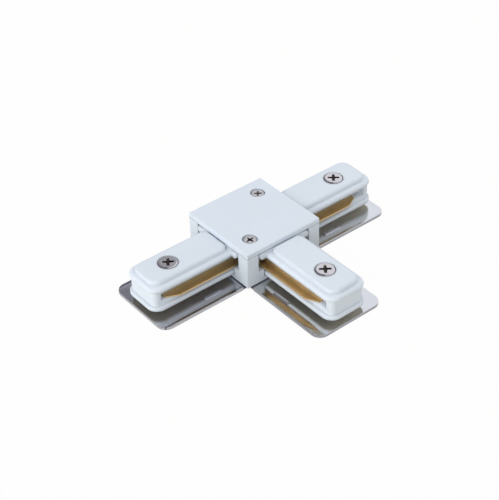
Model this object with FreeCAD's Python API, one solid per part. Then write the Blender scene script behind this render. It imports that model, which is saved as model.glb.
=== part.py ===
import FreeCAD, Part
import math
import os

# A T-shaped connector that joins three lengths of single-circuit lighting track.
# Units are millimetres, +Z is up and the origin is the middle of the hub's foot.
# The arms point along -X (left), +X (right) and -Y (stem). Each arm is modelled
# along +X and then turned into its place.

# Hub housing and lid
hub_side = 35.0
seam_rise = 1.1
lid_thickness = 2.25
hub_wall = 2.2
hub_floor = 1.8
hub_edge_bevel = 0.3
seam_bevel = 0.2
corner_pillar_width = 5.3
gate_step_rise = 1.5
lid_rail_width = 1.4
lid_rail_depth = 1.5
lid_rail_gap = 0.2
lid_seat_gap = 0.1
support_post_side = 2.4

# Lid screws and their bosses
lid_screw_inset = 7.2
lid_boss_half_side = 2.5
lid_collar_depth = 1.2
lid_screw_hole_radius = 1.6
lid_screw_recess_radius = 2.95
lid_screw_recess_depth = 1.55
lid_screw_radius = 1.3
lid_screw_head_radius = 2.65
lid_screw_head_height = 1.1
lid_screw_head_bevel = 0.35
lid_screw_length = 8.0
lid_pilot_gap = 0.06
lid_pilot_spare = 1.0

# How far a cutting shape runs past the face that it opens
cut_overshoot = 1.0

# Eased edges: one bevel at 45 degrees, then a smaller one along both of its sides,
# each as a share of the round that they stand for
ease_first = 0.65
ease_second = 0.28

# Arms
arm_length = 36.0
arm_foot_gap = 0.1
arm_root_step = 0.5
foot_half_width = 9.2
foot_thickness = 1.9
foot_gate_gap = 0.45
waist_half_width = 7.8
waist_height = 6.55
waist_end_step = 1.1
waist_corner_round = 2.2
shoulder_half_width = 8.9
shoulder_thickness = 1.85
shoulder_round = 1.3
corner_round = 4.5
pad_half_width = 7.0
pad_thickness = 1.7
pad_end_step = 1.8
pad_root_gap = 0.4
pad_root_round = 2.7
pad_corner_round = 4.0
pad_edge_bevel = 0.6
flange_edge_bevel = 0.35

# Ears that hold the arm in the wall of the hub
ear_top_gap = 0.4
ear_height = 2.5
ear_side_gap = 0.7
ear_proud = 0.5
ear_round = 1.1
keeper_thickness = 1.7
keeper_wall_gap = 0.1
keeper_overlap = 1.0
foot_keeper_overlap = 1.55

# Contact blades and the grooves that hold them
blade_thickness = 0.6
blade_above_foot = 2.5
blade_inner_edge = 3.6
blade_outer_edge = 10.1
blade_end_insets = {"left": 5.9, "right": 8.9, "stem": 7.9}
blade_taper_length = 5.0
blade_tip_width = 3.9
blade_neck_width = 3.0
blade_neck_shoulder = 1.2
groove_rise = 2.3
groove_depth = 2.0
groove_end_inset = 4.3
blade_slot_end_inset = 5.5
blade_slot_gap = 0.05
blade_edge_gap = 0.2

# Link strips inside the hub, and the card between them
link_thickness = 0.6
link_root_gap = 0.4
card_margin = 2.2
card_end_gap = 0.7

# Clamp screws
clamp_screw_from_hub = 22.6
screw_radius = 1.95
screw_head_radius = 3.7
screw_head_height = 2.2
screw_head_bevel = 0.45
screw_head_proud = 0.3
screw_recess_gap = 0.2
screw_hole_radius = 2.25
screw_end_gap = 0.05

# Cross recesses, given for a clamp screw and shared in proportion by the lid screws
cross_span = 4.6
cross_wing_width = 1.05
cross_depth = 1.5
cross_floor_span = 1.6
cross_flat_span = 2.0
cross_flat_floor_span = 1.1

# Clamp plates
plate_half_width = 15.5
plate_length = 36.75
plate_thickness = 1.1
plate_top_gap = 0.35
plate_hub_gap = 0.15
plate_corner_round = 4.0
plate_root_round = 0.8
plate_thread_gap = 0.06
plate_collar_radius = 3.0
plate_collar_height = 1.2
plate_collar_gap = 0.5
plate_travel = 2.1
rib_length = 8.0
rib_width = 1.6
rib_height = 0.5
rib_from_hub = 11.8
rib_offset = 11.4
rib_edge_bevel = 0.2

# Worked out from the sizes above
hub_half = hub_side / 2
hub_inside = hub_half - hub_wall
arm_foot = hub_floor + arm_foot_gap
foot_top = arm_foot + foot_thickness
shoulder_underside = foot_top + waist_height
shoulder_top = shoulder_underside + shoulder_thickness
pad_top = shoulder_top + pad_thickness
seam_height = shoulder_top + seam_rise
hub_top = seam_height + lid_thickness
lid_boss_top = seam_height - lid_collar_depth
lid_screw_place = hub_half - lid_screw_inset
gate_half_width = hub_half - corner_pillar_width
gate_step_height = foot_top + gate_step_rise
keeper_far = hub_inside - keeper_wall_gap
keeper_near = keeper_far - keeper_thickness
arm_root = keeper_near - arm_root_step
arm_reach = hub_half + arm_length
waist_end = arm_reach - waist_end_step
clamp_screw_place = hub_half + clamp_screw_from_hub
arm_root_top = seam_height - lid_seat_gap
foot_gate_half_width = foot_half_width + foot_gate_gap
blade_middle_height = foot_top + blade_above_foot
blade_neck_start = arm_root + blade_neck_shoulder
blade_low = blade_middle_height - blade_thickness / 2
blade_high = blade_middle_height + blade_thickness / 2
blade_line = blade_inner_edge + blade_neck_width / 2
card_half_side = blade_neck_width / 2 + card_margin
blade_neck_end = blade_line + card_half_side + card_end_gap
plate_top = -plate_top_gap
plate_low = plate_top - plate_thickness
plate_start = hub_half + plate_hub_gap
plate_reach = plate_start + plate_length
rib_middle = hub_half + rib_from_hub
arm_turns = {"left": 180, "right": 0, "stem": -90}
clamp_screw_turns = {"left": 145, "right": 50, "stem": 52}
lid_screw_turns = {1: 52, -1: 7}

VERTICAL = FreeCAD.Vector(0, 0, 1)
CENTRE = FreeCAD.Vector(0, 0, 0)


def vector(x, y, z=0.0):
    return FreeCAD.Vector(x, y, z)


def block(low, high):
    """A box between two corners."""
    size = [b - a for a, b in zip(low, high)]
    return Part.makeBox(size[0], size[1], size[2], vector(*low))


def rod(radius, low, high, x=0.0, y=0.0):
    """A round bar standing on the height low."""
    return Part.makeCylinder(radius, high - low, vector(x, y, low))


def post(half_side, low, high, x, y):
    """A square post standing on the height low."""
    return block((x - half_side, y - half_side, low), (x + half_side, y + half_side, high))


def turned(shape, degrees):
    """A copy turned about the upright axis through the origin."""
    copy = shape.copy()
    copy.rotate(CENTRE, VERTICAL, degrees)
    return copy


def flat_form(points, low, high):
    """A straight-sided outline raised from one height to another."""
    wire = Part.makePolygon([vector(x, y, low) for x, y in points + points[:1]])
    return Part.Face(wire).extrude(vector(0, 0, high - low))


def upright_edges(shape, test):
    """Upright edges whose middle passes the test on x and y."""
    found = []
    for edge in shape.Edges:
        limits = edge.BoundBox
        straight_up = limits.XLength < 1e-6 and limits.YLength < 1e-6
        if straight_up and test(limits.XMin, limits.YMin):
            found.append(edge)
    return found


def level_edges(shape, height, test=None):
    """Edges lying at one height, all of them or those that pass the test."""
    found = []
    for edge in shape.Edges:
        limits = edge.BoundBox
        level = abs(limits.ZMin - height) < 1e-5 and abs(limits.ZMax - height) < 1e-5
        if level and (test is None or test(limits)):
            found.append(edge)
    return found


def eased(shape, height, radius, test=None):
    """Three flats in place of a round of that radius, along the edges at one height."""
    first = radius * ease_first
    shape = shape.makeChamfer(first, level_edges(shape, height, test))
    both = level_edges(shape, height, test) + level_edges(shape, height - first, test)
    return shape.makeChamfer(radius * ease_second, both)


def tongue(start, end, half_width, low, high, end_round, start_round=0.0):
    """A flat bar along +X with rounded corners at its end and, if asked, at its start."""
    bar = block((start, -half_width, low), (end, half_width, high))
    bar = bar.makeFillet(end_round, upright_edges(bar, lambda x, y: abs(x - end) < 1e-6))
    if start_round > 0:
        bar = bar.makeFillet(start_round, upright_edges(bar, lambda x, y: abs(x - start) < 1e-6))
    return bar


def square_wire(half_side, height):
    """A level square about the upright axis."""
    corners = [vector(x * half_side, y * half_side, height) for x, y in ((-1, -1), (1, -1), (1, 1), (-1, 1))]
    return Part.makePolygon(corners + corners[:1])


def cross_recess(top, head_radius, degrees):
    """The tool for a cross recess with flats between its wings, sized by the screw's head."""
    share = head_radius / screw_head_radius
    half_span = cross_span / 2 * share
    half_floor = cross_floor_span / 2 * share
    half_wing = cross_wing_width / 2 * share
    floor = top - cross_depth * share
    profile = [(-half_span, top), (half_span, top), (half_floor, floor), (-half_floor, floor)]
    corners = [vector(x, -half_wing, z) for x, z in profile + profile[:1]]
    wing = Part.Face(Part.makePolygon(corners)).extrude(vector(0, 2 * half_wing, 0))
    low_square = square_wire(cross_flat_floor_span / 2 * share, floor)
    high_square = square_wire(cross_flat_span / 2 * share, top)
    middle = turned(Part.makeLoft([low_square, high_square], True, True), 45)
    return turned(wing.fuse(turned(wing, 90)).fuse(middle), degrees)


def screw(head_seat, head_radius, head_height, head_bevel, radius, tip, degrees):
    """A pan-headed screw on the upright axis, with its thread left plain."""
    crown = head_seat + head_height
    head = rod(head_radius, head_seat, crown)
    head = head.makeChamfer(head_bevel, level_edges(head, crown))
    shank = rod(radius, tip, head_seat)
    body = head.fuse(shank).removeSplitter()
    return body.cut(cross_recess(crown, head_radius, degrees))


def hub_housing():
    """A moulded tray with a stepped gate for each arm and a closed back wall."""
    tray = block((-hub_half, -hub_half, 0), (hub_half, hub_half, seam_height))
    tray = tray.makeChamfer(hub_edge_bevel, upright_edges(tray, lambda x, y: True) + level_edges(tray, 0))
    tray = tray.makeChamfer(seam_bevel, level_edges(tray, seam_height))
    hollow = block((-hub_inside, -hub_inside, hub_floor), (hub_inside, hub_inside, seam_height))
    tray = tray.cut(hollow)
    wide_gate = block(
        (hub_inside - cut_overshoot, -gate_half_width, gate_step_height),
        (hub_half + cut_overshoot, gate_half_width, seam_height),
    )
    foot_gate = block(
        (hub_inside - cut_overshoot, -foot_gate_half_width, hub_floor),
        (hub_half + cut_overshoot, foot_gate_half_width, gate_step_height),
    )
    gate = wide_gate.fuse(foot_gate)
    for degrees in arm_turns.values():
        tray = tray.cut(turned(gate, degrees))
    for side in (1, -1):
        place = side * lid_screw_place
        tray = tray.fuse(post(lid_boss_half_side, hub_floor, lid_boss_top, place, place))
        strip_underside = blade_high if side > 0 else blade_low - link_thickness
        tray = tray.fuse(post(support_post_side / 2, hub_floor, strip_underside, 0, side * blade_line))
    for side in (1, -1):
        place = side * lid_screw_place
        pilot_floor = lid_screw_seat() - lid_screw_length - lid_pilot_spare
        pilot = rod(lid_screw_radius + lid_pilot_gap, pilot_floor, lid_boss_top, place, place)
        tray = tray.cut(pilot)
    return tray.removeSplitter()


def lid_screw_seat():
    """Height of the ledge that a lid screw's head pulls on."""
    return hub_top - lid_screw_recess_depth


def hub_lid():
    """The square cover, with screw collars, a rail behind and pegs in front."""
    lid = block((-hub_half, -hub_half, seam_height), (hub_half, hub_half, hub_top))
    lid = lid.makeChamfer(hub_edge_bevel, upright_edges(lid, lambda x, y: True) + level_edges(lid, hub_top))
    lid = lid.makeChamfer(seam_bevel, level_edges(lid, seam_height))
    rail_outside = hub_inside - lid_rail_gap
    rail_inside = rail_outside - lid_rail_width
    rail_low = seam_height - lid_rail_depth
    lid = lid.fuse(block((-rail_outside, rail_inside, rail_low), (rail_outside, rail_outside, seam_height)))
    for side in (1, -1):
        near, far = sorted((side * rail_inside, side * rail_outside))
        lid = lid.fuse(block((near, -rail_outside, rail_low), (far, -rail_inside, seam_height)))
        strip_top = blade_high + link_thickness if side > 0 else blade_low
        lid = lid.fuse(post(
            support_post_side / 2, strip_top + lid_seat_gap, seam_height, 0, side * blade_line,
        ))
        place = side * lid_screw_place
        lid = lid.fuse(post(lid_boss_half_side, lid_boss_top, seam_height, place, place))
        lid = lid.cut(rod(lid_screw_hole_radius, lid_boss_top, hub_top, place, place))
        lid = lid.cut(rod(lid_screw_recess_radius, lid_screw_seat(), hub_top, place, place))
    return lid.removeSplitter()


def lid_screws():
    """Both screws that hold the lid down, as one group of separate solids."""
    made = []
    for side in (1, -1):
        tip = lid_screw_seat() - lid_screw_length
        fastener = screw(
            lid_screw_seat(), lid_screw_head_radius, lid_screw_head_height,
            lid_screw_head_bevel, lid_screw_radius, tip, lid_screw_turns[side],
        )
        fastener.translate(vector(side * lid_screw_place, side * lid_screw_place))
        made.append(fastener)
    return Part.makeCompound(made)


def arm_body():
    """One moulded arm: foot, waist, shoulder and pad, with ears at its root."""
    foot = tongue(arm_root, arm_reach, foot_half_width, arm_foot, foot_top, corner_round)
    foot_edges = level_edges(foot, arm_foot, off_root) + level_edges(foot, foot_top, off_root)
    foot = foot.makeChamfer(flange_edge_bevel, foot_edges)
    waist = tongue(
        arm_root, waist_end, waist_half_width, foot_top, shoulder_underside, waist_corner_round,
    )
    shoulder = tongue(
        arm_root, arm_reach, shoulder_half_width, shoulder_underside, shoulder_top, corner_round,
    )
    shoulder = eased(shoulder, shoulder_top, shoulder_round, off_root)
    shoulder = shoulder.makeChamfer(flange_edge_bevel, level_edges(shoulder, shoulder_underside, off_root))
    body = foot.fuse(waist).fuse(shoulder).removeSplitter()
    pad = tongue(
        hub_half + pad_root_gap, arm_reach - pad_end_step, pad_half_width,
        shoulder_top - shoulder_round, pad_top, pad_corner_round, pad_root_round,
    )
    pad = pad.makeChamfer(pad_edge_bevel, level_edges(pad, pad_top))
    root = block(
        (arm_root, -shoulder_half_width, shoulder_underside),
        (hub_half, shoulder_half_width, arm_root_top),
    )
    return body.fuse(pad).fuse(root).fuse(arm_ears()).removeSplitter()


def off_root(limits):
    """True for edges of a tongue that aren't across its root."""
    return limits.XMax > arm_root + 1e-6


def arm_ears():
    """Ears that show at the gate, and keepers behind the wall above and below."""
    ear_half_width = gate_half_width - ear_side_gap
    keeper_half_width = gate_half_width + keeper_overlap
    foot_keeper_half_width = foot_gate_half_width + foot_keeper_overlap
    ear_high = seam_height - ear_top_gap
    ear_low = ear_high - ear_height
    ears = block(
        (keeper_near, -ear_half_width, ear_low), (hub_half + ear_proud, ear_half_width, ear_high),
    )
    ears = ears.makeFillet(ear_round, [
        edge for edge in level_edges(ears, ear_low) + level_edges(ears, ear_high)
        if edge.BoundBox.YLength < 1e-6
    ])
    keeper = block((keeper_near, -keeper_half_width, ear_low), (keeper_far, keeper_half_width, ear_high))
    foot_keeper = block(
        (keeper_near, -foot_keeper_half_width, arm_foot), (keeper_far, foot_keeper_half_width, foot_top),
    )
    return ears.fuse(keeper).fuse(foot_keeper)


def arm_cuts():
    """What is cored out of an arm: grooves, blade slots and the screw's way through."""
    slot_low = blade_low - blade_slot_gap
    slot_high = blade_high + blade_slot_gap
    groove_high = blade_high + groove_rise
    groove_floor = waist_half_width - groove_depth
    cuts = rod(screw_hole_radius, arm_foot, pad_top, clamp_screw_place)
    cuts = cuts.fuse(rod(
        screw_head_radius + screw_recess_gap, clamp_screw_seat(), pad_top, clamp_screw_place,
    ))
    cuts = cuts.fuse(rod(
        plate_collar_radius + plate_collar_gap, arm_foot,
        plate_top + plate_collar_height + plate_travel + plate_collar_gap, clamp_screw_place,
    ))
    for side in (1, -1):
        near, far = sorted((side * groove_floor, side * (foot_half_width + cut_overshoot)))
        cuts = cuts.fuse(block(
            (arm_root, near, slot_low), (arm_reach - groove_end_inset, far, groove_high),
        ))
        near, far = sorted((side * (blade_inner_edge - blade_edge_gap), side * groove_floor))
        cuts = cuts.fuse(block(
            (arm_root, near, slot_low), (arm_reach - blade_slot_end_inset, far, slot_high),
        ))
    return cuts


def clamp_screw_seat():
    """Height of the ledge that a clamp screw's head pulls on."""
    return pad_top + screw_head_proud - screw_head_height


def contact_blade(side, end_inset):
    """A stamped strip along one side of an arm, with a narrow neck inside the hub."""
    blade_end = arm_reach - end_inset
    inner = blade_inner_edge
    neck = blade_inner_edge + blade_neck_width
    outline = [
        (blade_neck_end, inner),
        (blade_end, inner),
        (blade_end, inner + blade_tip_width),
        (blade_end - blade_taper_length, blade_outer_edge),
        (blade_neck_start, blade_outer_edge),
        (blade_neck_start, neck),
        (blade_neck_end, neck),
    ]
    return flat_form([(x, side * y) for x, y in outline], blade_low, blade_high)


def link_strip(line_side, low):
    """A stamped T that joins three blades; line_side is the side of the X axis it lies on."""
    reach = arm_root - link_root_gap
    half = blade_neck_width / 2
    middle = line_side * blade_line
    bar = block((-reach, middle - half, low), (reach, middle + half, low + link_thickness))
    branch = block((middle - half, -reach, low), (middle + half, middle + half, low + link_thickness))
    return bar.fuse(branch).removeSplitter()


def insulating_card():
    """A square of card between the link strips where they cross."""
    return block(
        (blade_line - card_half_side, -blade_line - card_half_side, blade_low),
        (blade_line + card_half_side, -blade_line + card_half_side, blade_high),
    )


def clamp_plate():
    """A pressed steel plate under an arm, with a drawn collar and two locating ribs."""
    plate = tongue(
        plate_start, plate_reach, plate_half_width, plate_low, plate_top,
        plate_corner_round, plate_root_round,
    )
    for side in (1, -1):
        low = (rib_middle - rib_length / 2, side * rib_offset - rib_width / 2, plate_top - rib_height)
        high = (rib_middle + rib_length / 2, side * rib_offset + rib_width / 2, plate_top + rib_height)
        rib = block(low, high)
        rib = rib.makeChamfer(rib_edge_bevel, level_edges(rib, plate_top + rib_height))
        plate = plate.fuse(rib)
        dent_low = (low[0] + rib_edge_bevel, low[1] + rib_edge_bevel, plate_low)
        dent_high = (high[0] - rib_edge_bevel, high[1] - rib_edge_bevel, plate_low + rib_height)
        plate = plate.cut(block(dent_low, dent_high))
    plate = plate.fuse(rod(plate_collar_radius, plate_top, plate_top + plate_collar_height, clamp_screw_place))
    hole = rod(
        screw_radius + plate_thread_gap, plate_low, plate_top + plate_collar_height, clamp_screw_place,
    )
    return plate.cut(hole).removeSplitter()


def clamp_screw(degrees):
    """The screw that draws a clamp plate up to its arm."""
    fastener = screw(
        clamp_screw_seat(), screw_head_radius, screw_head_height, screw_head_bevel,
        screw_radius, plate_low + screw_end_gap, degrees,
    )
    fastener.translate(vector(clamp_screw_place, 0))
    return fastener


def write(name, shape):
    """Write one node, and say how many solids it holds and whether they are sound."""
    shape.exportStep("parts/" + name + ".step")
    volume = sum(solid.Volume for solid in shape.Solids)
    print(name, "solids", len(shape.Solids), "valid", shape.isValid(), "volume", round(volume, 1))


def main():
    os.makedirs("parts", exist_ok=True)
    write("hub_housing", hub_housing())
    write("hub_lid", hub_lid())
    write("lid_screws", lid_screws())
    write("line_link", link_strip(1, blade_high))
    write("neutral_link", link_strip(-1, blade_low - link_thickness))
    write("insulating_card", insulating_card())
    arm = arm_body().cut(arm_cuts())
    plate = clamp_plate()
    for name, degrees in arm_turns.items():
        write(name + "_arm", turned(arm, degrees))
        line_side = -1 if name == "left" else 1
        end_inset = blade_end_insets[name]
        write(name + "_line_blade", turned(contact_blade(line_side, end_inset), degrees))
        write(name + "_neutral_blade", turned(contact_blade(-line_side, end_inset), degrees))
        write(name + "_clamp_plate", turned(plate, degrees))
        write(name + "_clamp_screw", turned(clamp_screw(clamp_screw_turns[name]), degrees))


main()
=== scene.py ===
# %% [markdown]
# # A T-shaped connector for lighting track
#
# Three lengths of track meet in this small moulded block. A square hub hides two brass
# link strips, three white arms carry a brass contact along each side, and under every
# arm a steel plate is drawn up by one screw so that the track's lip is clamped.
#
# The shapes come from the construction model. This file gives them their finish: soft
# moulded edges, rolled brass, bright steel, plated screws, and the light of a photo table.

# %% Load the construction model
import math

import bpy
from mathutils import Matrix, Vector


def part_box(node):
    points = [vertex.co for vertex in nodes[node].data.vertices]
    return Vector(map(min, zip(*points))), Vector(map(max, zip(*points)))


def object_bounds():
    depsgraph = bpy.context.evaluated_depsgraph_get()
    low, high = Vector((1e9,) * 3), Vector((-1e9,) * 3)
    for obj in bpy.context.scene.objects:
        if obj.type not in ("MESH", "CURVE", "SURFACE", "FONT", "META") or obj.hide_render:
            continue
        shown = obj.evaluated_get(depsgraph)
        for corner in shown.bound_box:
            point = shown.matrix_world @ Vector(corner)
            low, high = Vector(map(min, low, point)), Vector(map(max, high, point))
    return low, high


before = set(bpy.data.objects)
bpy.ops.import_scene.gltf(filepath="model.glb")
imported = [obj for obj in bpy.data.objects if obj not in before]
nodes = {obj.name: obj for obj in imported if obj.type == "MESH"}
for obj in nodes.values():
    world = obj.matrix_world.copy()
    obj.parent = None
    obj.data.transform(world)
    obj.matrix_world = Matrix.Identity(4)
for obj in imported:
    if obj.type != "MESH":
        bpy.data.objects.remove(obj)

cad_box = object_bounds()
MM = 0.001
print("nodes:", len(nodes), "box in mm:", [[round(v / MM, 2) for v in corner] for corner in cad_box])

# %% [markdown]
# ## The camera
#
# The photograph was taken from above the corner between the left and the stem arm. Its
# angle, distance and focal length were found by fitting the hub's straight edges, so they
# are written down here as plain numbers: two angles to the object, a small roll, a
# distance, and how far the view slides sideways and up.

# %% Camera
azimuth, elevation, roll = (math.radians(v) for v in (-38.01, 38.25, -1.79))
distance, slide_right, slide_up = 486.06 * MM, -2.02 * MM, -0.96 * MM
focal_pixels, photo_width = 1270.42, 500

back = Vector((
    math.sin(azimuth) * math.cos(elevation),
    -math.cos(azimuth) * math.cos(elevation),
    math.sin(elevation),
))
level_right = Vector((math.cos(azimuth), math.sin(azimuth), 0))
level_up = back.cross(level_right)
right = math.cos(roll) * level_right + math.sin(roll) * level_up
up = -math.sin(roll) * level_right + math.cos(roll) * level_up

camera = bpy.data.objects.new("camera", bpy.data.cameras.new("camera"))
bpy.context.scene.collection.objects.link(camera)
camera.data.lens = camera.data.sensor_width * focal_pixels / photo_width
camera.data.clip_start, camera.data.clip_end = 0.01, 20
turn = Matrix((right, up, back)).transposed().to_4x4()
camera.matrix_world = Matrix.Translation(back * distance + right * slide_right + up * slide_up) @ turn
bpy.context.scene.camera = camera
bpy.context.scene.view_settings.view_transform = "Standard"
print("camera at (mm):", [round(v / MM, 1) for v in camera.matrix_world.translation])

# %% [markdown]
# ## Edges that a mould leaves
#
# No moulded or stamped edge is perfectly sharp. The construction model has its large
# rounds already, made of a few flats. Here the triangles of each flat face are joined
# again, every remaining sharp edge gets a fine bevel, and the faces share their shading
# weighted by size, so flats stay flat and the rounds read as rounds. All of it is done
# with modifiers, so the model's own points stay where they are.

# %% Helper: soften the edges of a node
coplanar_degrees = 0.6
sharp_degrees = 40


def soften(name, width_mm):
    """Fine rounded edges on one node, by modifiers only."""
    part = nodes[name]
    for polygon in part.data.polygons:
        polygon.use_smooth = True
    weld = part.modifiers.new("join corners", "WELD")
    weld.merge_threshold = 2e-6
    flats = part.modifiers.new("join flats", "DECIMATE")
    flats.decimate_type = "DISSOLVE"
    flats.angle_limit = math.radians(coplanar_degrees)
    edge = part.modifiers.new("fine edge", "BEVEL")
    edge.limit_method = "ANGLE"
    edge.angle_limit = math.radians(sharp_degrees)
    edge.width = width_mm * MM
    edge.segments = 2
    edge.use_clamp_overlap = True
    edge.miter_outer = "MITER_ARC"
    shading = part.modifiers.new("even shading", "WEIGHTED_NORMAL")
    shading.weight = 80
    shading.keep_sharp = False


# %% Soften every node
edge_widths = {
    "hub_housing": 0.12, "hub_lid": 0.12, "lid_screws": 0.05, "insulating_card": 0.03,
    "line_link": 0.05, "neutral_link": 0.05,
}
for arm in ("left", "right", "stem"):
    edge_widths[arm + "_arm"] = 0.14
    edge_widths[arm + "_line_blade"] = 0.06
    edge_widths[arm + "_neutral_blade"] = 0.06
    edge_widths[arm + "_clamp_plate"] = 0.08
    edge_widths[arm + "_clamp_screw"] = 0.06
for name, width in edge_widths.items():
    soften(name, width)
print("softened:", len(edge_widths), "nodes")

# %% [markdown]
# ## Helpers for finishes
#
# A finish is a small network of nodes: something that varies over the surface (noise, a
# stretched noise for rolling lines, distance from a screw's axis) drives colour,
# roughness and a little bump. Values that are the same all over sit on the shader itself.

# %% Helper: start a finish
def new_finish(name, color, roughness, metallic=0.0, **sockets):
    """A material with its shader set to the given plain values."""
    material = bpy.data.materials.new(name)
    material.use_nodes = True
    shader = material.node_tree.nodes["Principled BSDF"]
    shader.inputs["Base Color"].default_value = (*color, 1)
    shader.inputs["Roughness"].default_value = roughness
    shader.inputs["Metallic"].default_value = metallic
    for socket, value in sockets.items():
        shader.inputs[socket.replace("_", " ")].default_value = value
    return material, shader


# %% Helper: add a node and join its inputs
def add(material, kind, inputs=None, **settings):
    """A node of that kind, with values or other nodes' outputs on its inputs."""
    node = material.node_tree.nodes.new(kind)
    for key, value in settings.items():
        setattr(node, key, value)
    for key, value in (inputs or {}).items():
        if isinstance(value, bpy.types.NodeSocket):
            material.node_tree.links.new(value, node.inputs[key])
        else:
            node.inputs[key].default_value = value
    return node


# %% Helper: places on the object, in millimetres
def place_mm(material, stretch=(1, 1, 1)):
    """The surface point in millimetres, stretched so that a pattern follows one direction."""
    spot = add(material, "ShaderNodeTexCoord").outputs["Object"]
    scale = [s / MM for s in stretch]
    return add(material, "ShaderNodeVectorMath", {0: spot, 1: scale}, operation="MULTIPLY").outputs[0]


# %% Helper: a value that wanders between two limits
usual_noise = (0.3, 0.7)


def wander(material, spot, scale, low, high):
    """Noise read at a spot, with the range that it usually has mapped onto low to high."""
    noise = add(material, "ShaderNodeTexNoise", {"Vector": spot, "Scale": scale, "Detail": 3.0})
    spread = add(material, "ShaderNodeMapRange", {
        "Value": noise.outputs["Fac"], "From Min": usual_noise[0], "From Max": usual_noise[1],
        "To Min": low, "To Max": high,
    })
    return spread.outputs["Result"]


# %% Helper: a colour between two
def tone(material, share, low, high):
    """A colour that goes from low to high as the share goes from 0 to 1."""
    ramp = add(material, "ShaderNodeValToRGB", {"Fac": share})
    ramp.color_ramp.elements[0].color = (*low, 1)
    ramp.color_ramp.elements[1].color = (*high, 1)
    return ramp.outputs["Color"]


def tinted(color, share):
    """The colour, with each part of it taken that many times."""
    return [share * c for c in color]


# %% Helper: a step between two distances
def fade(material, value, start, end, low=0.0, high=1.0):
    """Goes smoothly from low to high while the value goes from start to end."""
    return add(material, "ShaderNodeMapRange", {
        "Value": value, "From Min": start, "From Max": end, "To Min": low, "To Max": high,
    }, interpolation_type="SMOOTHSTEP").outputs["Result"]


# %% Helper: short sums
def sum_of(material, operation, first, second=0.0):
    """One step of arithmetic on two values."""
    return add(material, "ShaderNodeMath", {0: first, 1: second}, operation=operation).outputs[0]


# %% Helper: one direction of a place or of a facing
def part_of(material, vector, axis):
    """The X, Y or Z of a vector."""
    return add(material, "ShaderNodeSeparateXYZ", {"Vector": vector}).outputs[axis]


def facing_up(material):
    """1 on a face that looks straight up, 0 on an upright one and -1 on one that looks down."""
    return part_of(material, add(material, "ShaderNodeNewGeometry").outputs["Normal"], "Z")


# %% Helper: lay one colour over another
def laid_over(material, share, under, over, **settings):
    """The colour under, with a plain colour laid over it where the share is high."""
    mix = add(material, "ShaderNodeMix", {"Factor": share, 6: under}, data_type="RGBA", **settings)
    mix.inputs[7].default_value = (*over, 1)
    return mix.outputs[2]


# %% Helper: how far a point lies from upright axes
def from_axes(material, spot, axes_mm):
    """The distance in millimetres to the nearest of some upright axes."""
    flat = add(material, "ShaderNodeVectorMath", {0: spot, 1: (1, 1, 0)}, operation="MULTIPLY").outputs[0]
    nearest = None
    for x, y in axes_mm:
        reach = add(material, "ShaderNodeVectorMath", {0: flat, 1: (x, y, 0)}, operation="DISTANCE")
        reach = reach.outputs["Value"]
        nearest = reach if nearest is None else sum_of(material, "MINIMUM", nearest, reach)
    return nearest


# %% Where the screws stand
def middle_mm(name):
    """The middle of a node seen from above."""
    low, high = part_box(name)
    return (low.x + high.x) / 2 / MM, (low.y + high.y) / 2 / MM


clamp_head_mm, lid_head_mm = 3.7, 2.65
lid_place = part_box("lid_screws")[1].x / MM - lid_head_mm
lid_axes = [(lid_place, lid_place), (-lid_place, -lid_place)]
clamp_axes = {arm: middle_mm(arm + "_clamp_screw") for arm in ("left", "right", "stem")}
print("screw axes in mm:", lid_axes, clamp_axes)

# %% [markdown]
# ## White moulding
#
# Hub, lid and arms are moulded from a flame-retardant plastic, dyed a cool white. The
# tool was finished by fine spark erosion, which leaves a satin skin with a grain of a few
# hundredths of a millimetre. The flow of the plastic leaves patches that are a little
# glossier than others. So: a cool white, a very fine bump, and a slow wander in
# roughness and colour.
#
# On the arms every edge and inner corner flows into the next face, as the mould's own
# cutter left it. The Bevel node turns the shading near an edge as if it were rounded,
# inner corners too, and leaves the mesh alone. The crisp hub gets a small radius and the
# soft arms a large one. A real bevel that large would run into the arms' narrow steps.
#
# Lid and housing meet in a hairline seam. Almost no light comes back out of it, so shade is
# painted into the plastic within a sixth of a millimetre of that height.
# The underside of each arm is mostly seen in the mirror of its plate, where the photograph
# shows it olive. Warm light from the table is painted there as a lighter, warmer tint on the faces that look
# down.

# %% Finish: white moulding
def white_moulding(name, color, rough, edge_mm):
    """Satin plastic with a fine grain and soft edges; also returns its colour, to be built on."""
    material, shader = new_finish(name, color, rough[0], IOR=1.53)
    links = material.node_tree.links
    spot = place_mm(material)
    patches = tone(material, wander(material, spot, 0.06, 0, 1), color, tinted(color, 0.975))
    links.new(patches, shader.inputs["Base Color"])
    links.new(wander(material, spot, 0.15, *rough), shader.inputs["Roughness"])
    grain = add(material, "ShaderNodeTexNoise", {"Vector": spot, "Scale": 6.0, "Detail": 4.0})
    rounded = add(material, "ShaderNodeBevel", {"Radius": edge_mm * MM}, samples=8)
    bump = add(material, "ShaderNodeBump", {
        "Height": grain.outputs["Fac"], "Strength": 0.12, "Distance": 0.00002,
        "Normal": rounded.outputs["Normal"],
    })
    links.new(bump.outputs["Normal"], shader.inputs["Normal"])
    return material, shader, patches


# %% Hub: crisp edges and painted shade along the seam under the lid
hub_white, shader, patches = white_moulding("hub white", (0.67, 0.735, 0.81), (0.38, 0.48), 0.15)
seam_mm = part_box("hub_housing")[1].z / MM
height = part_of(hub_white, place_mm(hub_white), "Z")
from_seam = sum_of(hub_white, "ABSOLUTE", sum_of(hub_white, "SUBTRACT", height, seam_mm))
# Painted shade: the colour is darkened within a sixth of a millimetre of the seam.
seam_painted_shade = fade(hub_white, from_seam, 0.04, 0.16, 1, 0)
shaded = laid_over(hub_white, seam_painted_shade, patches, (0.5, 0.5, 0.52), blend_type="MULTIPLY")
hub_white.node_tree.links.new(shaded, shader.inputs["Base Color"])
print("seam at (mm):", round(seam_mm, 2))
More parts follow.
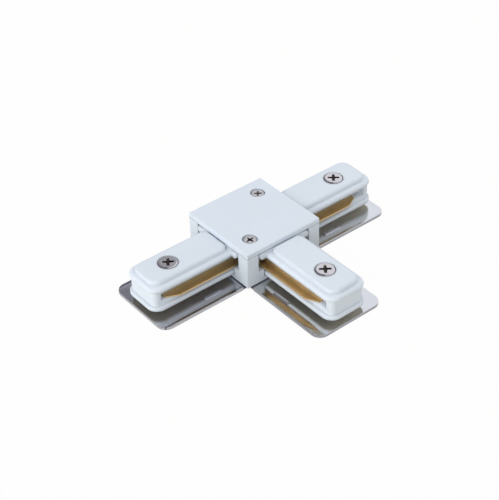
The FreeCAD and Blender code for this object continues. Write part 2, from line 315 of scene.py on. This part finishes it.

# %% Arms: soft edges and painted warm light on the underside
arm_white, shader, patches = white_moulding("arm white", (0.67, 0.73, 0.805), (0.3, 0.4), 1.3)
# Painted light: faces that look down get a lighter, warmer colour, for the warm light from the table.
looks_down = fade(arm_white, facing_up(arm_white), -0.95, -0.6, 1, 0)
underside_painted_light = laid_over(arm_white, looks_down, patches, (0.96, 0.93, 0.8))
arm_white.node_tree.links.new(underside_painted_light, shader.inputs["Base Color"])

# %% [markdown]
# ## Rolled brass
#
# The contacts and link strips are stamped from rolled brass sheet. Rolling leaves fine
# lines along the strip, and handling leaves slightly duller, browner patches. The lines
# are noise that is stretched along the strip, so each strip needs to know its direction.
# The strips of the two side arms look a little browner in the photograph than the stem's, so their brass is a
# darker copy: painted shade.

# %% Finish: rolled brass
def rolled_brass(name, along, color):
    """Brass sheet with fine rolling lines in one direction."""
    material, shader = new_finish(name, color, 0.3, 1.0)
    links = material.node_tree.links
    lines = place_mm(material, [0.01 if axis == along else 1 for axis in "xyz"])
    fine = add(material, "ShaderNodeTexNoise", {"Vector": lines, "Scale": 12.0, "Detail": 2.0})
    dullness = wander(material, place_mm(material), 0.12, 0, 1)
    patches = tone(material, dullness, tinted(color, 0.94), tinted(color, 1.07))
    links.new(patches, shader.inputs["Base Color"])
    links.new(wander(material, lines, 3.0, 0.3, 0.35), shader.inputs["Roughness"])
    bump = add(material, "ShaderNodeBump", {
        "Height": fine.outputs["Fac"], "Strength": 0.06, "Distance": 0.00001,
    })
    links.new(bump.outputs["Normal"], shader.inputs["Normal"])
    return material


# Painted shade: the brass along x, on the side arms and the link strips, is a darker copy of the stem's.
brass_along_x_painted_shade = rolled_brass("rolled brass along x", "x", (0.61, 0.43, 0.215))
brass_along_y = rolled_brass("rolled brass along y", "y", (0.80, 0.52, 0.23))

# %% [markdown]
# ## Bright steel
#
# The clamp plates are pressed from bright strip. They work almost as mirrors: what one
# sees on them is mostly the underside of the arm above and the white room. The press
# leaves the side plates bowed up a little, and on all three it rolls the last millimetre
# or so of the long edges down. Neither amounts to more than a fifth of a millimetre, but
# both turn the mirror, so they are a bump: its height grows with the square of the
# distance past a line along the plate.
# The sheared edge of the sheet is duller than the face, and on its upright faces the colour is
# darkened, partly for that dull cut and partly as painted shade. A dark line along the crease where the
# edge rolls over and darker tops on the locating ribs are painted shade. The left plate is a darker copy of
# the same steel, painted shade for the darker side of the room it mirrors; its sheared edge is darkened less,
# so it doesn't stand out, but its crease line does.

# %% Finish: bright steel
plate_thickness_mm = 1.1
rib_starts_mm, rib_full_mm = 0.1, 0.4
plate_face_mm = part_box("left_clamp_plate")[0].z / MM + plate_thickness_mm
print("plate face at (mm):", round(plate_face_mm, 2))


def bright_steel(name, along, color, bends, edge_dullness_and_shade, crease_mm=None):
    """A nearly mirror-bright plate; a bend is a start line in mm and the slope gained per mm."""
    material, shader = new_finish(name, color, 0.1, 1.0)
    links = material.node_tree.links
    spot = place_mm(material)
    lines = place_mm(material, [0.04 if axis == along else 1 for axis in "xyz"])
    from_middle = sum_of(material, "ABSOLUTE", part_of(material, spot, "Y" if along == "x" else "X"))
    height = 0.0
    for start_mm, slope_per_mm in bends:
        past = sum_of(material, "MAXIMUM", sum_of(material, "SUBTRACT", from_middle, start_mm), 0.0)
        bend = sum_of(material, "MULTIPLY", sum_of(material, "MULTIPLY", past, past), 0.5 * slope_per_mm)
        height = sum_of(material, "ADD", bend, height)
    rolled = add(material, "ShaderNodeBump", {"Height": height, "Strength": 1.0, "Distance": MM})
    fine = add(material, "ShaderNodeTexNoise", {"Vector": lines, "Scale": 8.0, "Detail": 3.0})
    bump = add(material, "ShaderNodeBump", {
        "Height": fine.outputs["Fac"], "Strength": 0.06, "Distance": 0.00001,
        "Normal": rolled.outputs["Normal"],
    })
    patches = wander(material, spot, 0.25, 0, 1)
    haze = tone(material, patches, tinted(color, 0.97), tinted(color, 1.03))
    level = sum_of(material, "ABSOLUTE", facing_up(material))
    # Partly a duller cut, partly painted shade: the colour of the upright faces is darkened.
    cut_edge_dull_and_shaded = fade(material, level, 0.2, 0.7, edge_dullness_and_shade, 0)
    above_face = sum_of(material, "SUBTRACT", part_of(material, spot, "Z"), plate_face_mm)
    # Painted shade: the tops of the ribs are darkened.
    rib_top_painted_shade = fade(material, above_face, rib_starts_mm, rib_full_mm, 0, 0.3)
    dullness_and_painted_shade = sum_of(material, "MAXIMUM", cut_edge_dull_and_shaded, rib_top_painted_shade)
    # Painted shade: a dark line is painted along the crease.
    if crease_mm is not None:
        from_crease = sum_of(material, "ABSOLUTE", sum_of(material, "SUBTRACT", from_middle, crease_mm))
        dullness_and_painted_shade = sum_of(material, "MAXIMUM", dullness_and_painted_shade, fade(material, from_crease, 0.1, 0.32, 1, 0))
    links.new(laid_over(material, dullness_and_painted_shade, haze, (0.11, 0.115, 0.16)), shader.inputs["Base Color"])
    links.new(wander(material, spot, 0.25, 0.07, 0.15), shader.inputs["Roughness"])
    links.new(bump.outputs["Normal"], shader.inputs["Normal"])
    return material


side_bends, stem_bends = [(11.5, 0.025), (14.2, -0.2)], [(14.9, -0.35)]
# The left plate's steel is a darker copy of the others': painted shade.
clear_steel, left_steel_painted_shade = (0.71, 0.705, 0.70), (0.56, 0.55, 0.57)
steels = {
    "left": bright_steel("bright steel, left plate", "x", left_steel_painted_shade, side_bends, 0.3, crease_mm=14.6),
    "right": bright_steel("bright steel, right plate", "x", clear_steel, side_bends, 0.65),
    "stem": bright_steel("bright steel, stem plate", "y", clear_steel, stem_bends, 0.65),
}

# %% [markdown]
# ## Plated screws
#
# The screws are cold-headed steel with a thin nickel plating. The flat of the head shines,
# and the cross recess is painted nearly black on the large screws and brown on the small
# ones: painted shade. Two distances tell the parts of a head apart: how far below the crown
# a point lies, and how far from the screw's own axis. The side of the head, down in its
# well, is painted dark as shade too, which draws the thin dark ring around each head.
# A faint ring pattern stands for the marks of the heading die, and on the shank a bump
# that climbs one pitch in each turn gives the plain rod of the construction model its
# thread. Cut as a mesh, so fine a thread would cost thousands of faces and hardly show.

# %% Finish: plated screw
def plated_screw(name, axes_mm, crown_mm, recess_mm, head_mm, pitch_mm, color, shade_color):
    """Nickel plating, painted shade in the recess (half span, depth) and round the head (height, radius), a
    thread.
    """
    material, shader = new_finish(name, color, 0.22, 1.0)
    links = material.node_tree.links
    spot = place_mm(material)
    height = part_of(material, spot, "Z")
    radius = from_axes(material, spot, axes_mm)
    half, deep = recess_mm
    head_height, head_radius = head_mm
    # Painted shade: the recess and the side of the head, in its well, are darkened in the colour.
    inside = fade(material, radius, half, half + 0.15, 1.0, 0.0)
    below = fade(material, height, crown_mm - 0.3, crown_mm - 0.06, 1.0, 0.0)
    above = fade(material, height, crown_mm - deep - 0.3, crown_mm - deep - 0.1)
    recess = sum_of(material, "MULTIPLY", sum_of(material, "MULTIPLY", inside, below), above)
    # Painted shade on the side of the head, which draws the dark ring.
    rim_shade = fade(material, radius, head_radius - 0.16, head_radius - 0.06)
    dark = sum_of(material, "MAXIMUM", recess, rim_shade)
    links.new(tone(material, dark, color, shade_color), shader.inputs["Base Color"])
    links.new(wander(material, spot, 1.2, 0.12, 0.22), shader.inputs["Roughness"])
    rings = sum_of(material, "SINE", sum_of(material, "MULTIPLY", radius, 30.0))
    bump = add(material, "ShaderNodeBump", {"Height": rings, "Strength": 0.1, "Distance": 0.000004})
    around = add(material, "ShaderNodeVectorMath", {0: spot, 1: (*axes_mm[0], 0)}, operation="SUBTRACT")
    sides = add(material, "ShaderNodeSeparateXYZ", {"Vector": around.outputs[0]}).outputs
    turns = sum_of(material, "DIVIDE", sum_of(material, "ARCTAN2", sides["Y"], sides["X"]), 2 * math.pi)
    climb = sum_of(material, "SUBTRACT", sum_of(material, "DIVIDE", height, pitch_mm), turns)
    flank = sum_of(material, "PINGPONG", climb, 0.5)
    neck = crown_mm - head_height
    shank = fade(material, height, neck - 0.05, neck, 1.0, 0.0)
    thread = sum_of(material, "MULTIPLY", flank, shank)
    bump = add(material, "ShaderNodeBump", {
        "Height": thread, "Strength": 1.0, "Distance": 0.5 * MM, "Normal": bump.outputs["Normal"],
    })
    grain = add(material, "ShaderNodeTexNoise", {"Vector": spot, "Scale": 4.0, "Detail": 3.0})
    bump = add(material, "ShaderNodeBump", {
        "Height": grain.outputs["Fac"], "Strength": 0.12, "Distance": 0.00003,
        "Normal": bump.outputs["Normal"],
    })
    links.new(bump.outputs["Normal"], shader.inputs["Normal"])
    return material


# %% Screws, each with its own axis
def crown_mm(name):
    """The height of a screw's crown."""
    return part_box(name)[1].z / MM


clamp_screw = {
    "recess_mm": (2.5, 1.5), "head_mm": (2.2, clamp_head_mm), "pitch_mm": 0.7,
    "color": (0.67, 0.63, 0.62), "shade_color": (0.07, 0.058, 0.05),
}
lid_screw = {
    "recess_mm": (1.8, 1.1), "head_mm": (1.1, lid_head_mm), "pitch_mm": 1.0,
    "color": (0.60, 0.57, 0.555), "shade_color": (0.17, 0.14, 0.12),
}
clamp_plating = {}
for arm, axis in clamp_axes.items():
    crown = crown_mm(arm + "_clamp_screw")
    clamp_plating[arm] = plated_screw(arm + " clamp screw plating", [axis], crown, **clamp_screw)
lid_plating = plated_screw("lid screw plating", lid_axes, crown_mm("lid_screws"), **lid_screw)
print("screw crowns (mm):", round(crown, 2), round(crown_mm("lid_screws"), 2))

# %% [markdown]
# ## Fibre card
#
# Between the link strips lies a square of pressed fibre card, so that line and neutral
# never touch. It is a matt brown board with short darker fibres.

# %% Finish: fibre card
fibre_card, card_shader = new_finish("fibre card", (0.28, 0.12, 0.05), 0.85)
fibres = wander(fibre_card, place_mm(fibre_card, (1, 0.3, 1)), 3.0, 0, 1)
fibre_card.node_tree.links.new(
    tone(fibre_card, fibres, (0.20, 0.08, 0.03), (0.34, 0.17, 0.08)), card_shader.inputs["Base Color"],
)

# %% Give each node its finish
finishes = {
    "hub_housing": hub_white, "hub_lid": hub_white, "lid_screws": lid_plating,
    "insulating_card": fibre_card, "line_link": brass_along_x_painted_shade, "neutral_link": brass_along_x_painted_shade,
}
for arm in ("left", "right", "stem"):
    lengthways = arm == "stem"
    finishes[arm + "_arm"] = arm_white
    finishes[arm + "_line_blade"] = brass_along_y if lengthways else brass_along_x_painted_shade
    finishes[arm + "_neutral_blade"] = brass_along_y if lengthways else brass_along_x_painted_shade
    finishes[arm + "_clamp_plate"] = steels[arm]
    finishes[arm + "_clamp_screw"] = clamp_plating[arm]
for name, material in finishes.items():
    nodes[name].data.materials.clear()
    nodes[name].data.materials.append(material)
print("finished:", len(finishes), "nodes")

# %% [markdown]
# ## The photo table
#
# The connector was photographed on white with soft light from all sides. The table is a
# pale, slightly warm floor that keeps a faint shadow and sends warm light up under the
# arms. To the camera and in reflections it is mixed with plain white, so the background
# is white without more light on the object. Close to the object, where little of the room
# is open to the table, shadow is painted into that white. Under the hub, behind the plates'
# inner ends, no light reaches the table at all, so the slots between foot and plates are painted dark.

# %% Floor
floor_height = cad_box[0].z - 0.02 * MM
bpy.ops.mesh.primitive_plane_add(size=6, location=(0, 0, floor_height))
floor = bpy.context.object
floor.name = "photo_table"

table_white = bpy.data.materials.new("table white")
table_white.use_nodes = True
table_white.node_tree.nodes.clear()
print("floor at (mm):", round(floor_height / MM, 2))

# %% Where shadow is painted on the table
hub_side_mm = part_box("hub_housing")[1].x / MM
plate_side_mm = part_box("left_clamp_plate")[1].y / MM
spot = place_mm(table_white)
beside = [sum_of(table_white, "ABSOLUTE", part_of(table_white, spot, axis)) for axis in "XY"]
nearer = sum_of(table_white, "MINIMUM", *beside)
farther = sum_of(table_white, "MAXIMUM", *beside)
# Painted shadow: the table's white is darkened behind the plates' inner ends under the hub, and where AO
# finds little open room.
behind_plate = fade(table_white, nearer, plate_side_mm - 0.6, plate_side_mm, 1, 0)
under_hub = fade(table_white, farther, hub_side_mm, hub_side_mm + 0.6, 1, 0)
open_table = sum_of(table_white, "SUBTRACT", 1.0, sum_of(table_white, "MULTIPLY", behind_plate, under_hub))
openness = add(table_white, "ShaderNodeAmbientOcclusion", {"Distance": 2 * MM}, samples=16)
clear = fade(table_white, openness.outputs["AO"], 0.24, 0.62)
lit = sum_of(table_white, "MULTIPLY", clear, open_table)
glow = tone(table_white, lit, (0.05, 0.05, 0.07), (1, 1, 1))

# %% White for the camera and for mirrors, matt for everything else
paths = add(table_white, "ShaderNodeLightPath").outputs
seen = sum_of(table_white, "MAXIMUM", paths["Is Camera Ray"], paths["Is Glossy Ray"])
seen = sum_of(table_white, "MAXIMUM", seen, paths["Is Transmission Ray"])
share = sum_of(table_white, "MULTIPLY", seen, 0.97)
matt = add(table_white, "ShaderNodeBsdfDiffuse", {"Color": (0.66, 0.65, 0.58, 1)})
plain = add(table_white, "ShaderNodeEmission", {"Color": glow, "Strength": 1.0})
mixed = add(table_white, "ShaderNodeMixShader", {0: share, 1: matt.outputs[0], 2: plain.outputs[0]})
add(table_white, "ShaderNodeOutputMaterial", {"Surface": mixed.outputs[0]})
floor.data.materials.append(table_white)

# %% [markdown]
# ## The room
#
# The light of the room comes evenly from all sides. What the polished parts mirror is
# another matter: in the photograph the plate and screw on the left mirror something
# darker than those on the right, so the mirrored room turns grey towards that side, and
# towards the ceiling too, so that polished steel reads as steel from above. Only
# reflections see it, and the plastic is lit by the even room and the lamps.

# %% World
world = bpy.data.worlds.new("studio")
bpy.context.scene.world = world
world.use_nodes = True
world.node_tree.nodes.clear()
even = add(world, "ShaderNodeBackground", {"Color": (1, 1, 1, 1), "Strength": 0.66})
white = add(world, "ShaderNodeBackground", {"Color": (1, 1, 1, 1), "Strength": 1.0})

# %% The mirrored room: grey to the left and towards the ceiling
direction = add(world, "ShaderNodeTexCoord").outputs["Generated"]
sideways = add(world, "ShaderNodeVectorMath", {0: direction, 1: level_right}, operation="DOT_PRODUCT")
greyness = add(world, "ShaderNodeMapRange", {"Value": sideways.outputs["Value"], "From Min": -1})
ramp = add(world, "ShaderNodeValToRGB", {"Fac": greyness.outputs["Result"]})
dark_end, bright_end = ramp.color_ramp.elements
dark_end.position, bright_end.position = 0.465, 0.502
dark_end.color, bright_end.color = (0.27, 0.275, 0.32, 1), (0.88, 0.91, 1, 1)
ceiling = add(world, "ShaderNodeMapRange", {
    "Value": part_of(world, direction, "Z"), "From Min": 0.66, "From Max": 0.92, "To Min": 1.1, "To Max": 0.5,
})
mirrored = add(world, "ShaderNodeBackground", {
    "Color": ramp.outputs["Color"], "Strength": ceiling.outputs["Result"],
})

# %% Who sees which room
rays = add(world, "ShaderNodeLightPath").outputs
even, mirrored, white = (sky.outputs[0] for sky in (even, mirrored, white))
unseen = add(world, "ShaderNodeMixShader", {0: rays["Is Glossy Ray"], 1: even, 2: mirrored}).outputs[0]
room = add(world, "ShaderNodeMixShader", {0: rays["Is Camera Ray"], 1: unseen, 2: white}).outputs[0]
add(world, "ShaderNodeOutputWorld", {"Surface": room})


# %% Soft lamps
def soft_lamp(name, place, size, power):
    """A square lamp that looks at the middle of the object and isn't mirrored in it."""
    lamp = bpy.data.lights.new(name, "AREA")
    lamp.size = size
    lamp.energy = power
    holder = bpy.data.objects.new(name, lamp)
    bpy.context.scene.collection.objects.link(holder)
    holder.location = place
    holder.rotation_euler = (-Vector(place)).to_track_quat("-Z", "Y").to_euler()
    holder.visible_glossy = False


soft_lamp("overhead", (0.0, 0.1, 0.9), 0.9, 1.6)
soft_lamp("front_left", (-0.8, -0.6, 0.5), 0.6, 2.6)
soft_lamp("left_side", (-1.0, 0.15, 0.3), 0.6, 4.4)
soft_lamp("right_side", (1.0, 0.1, 0.35), 0.6, 2.4)
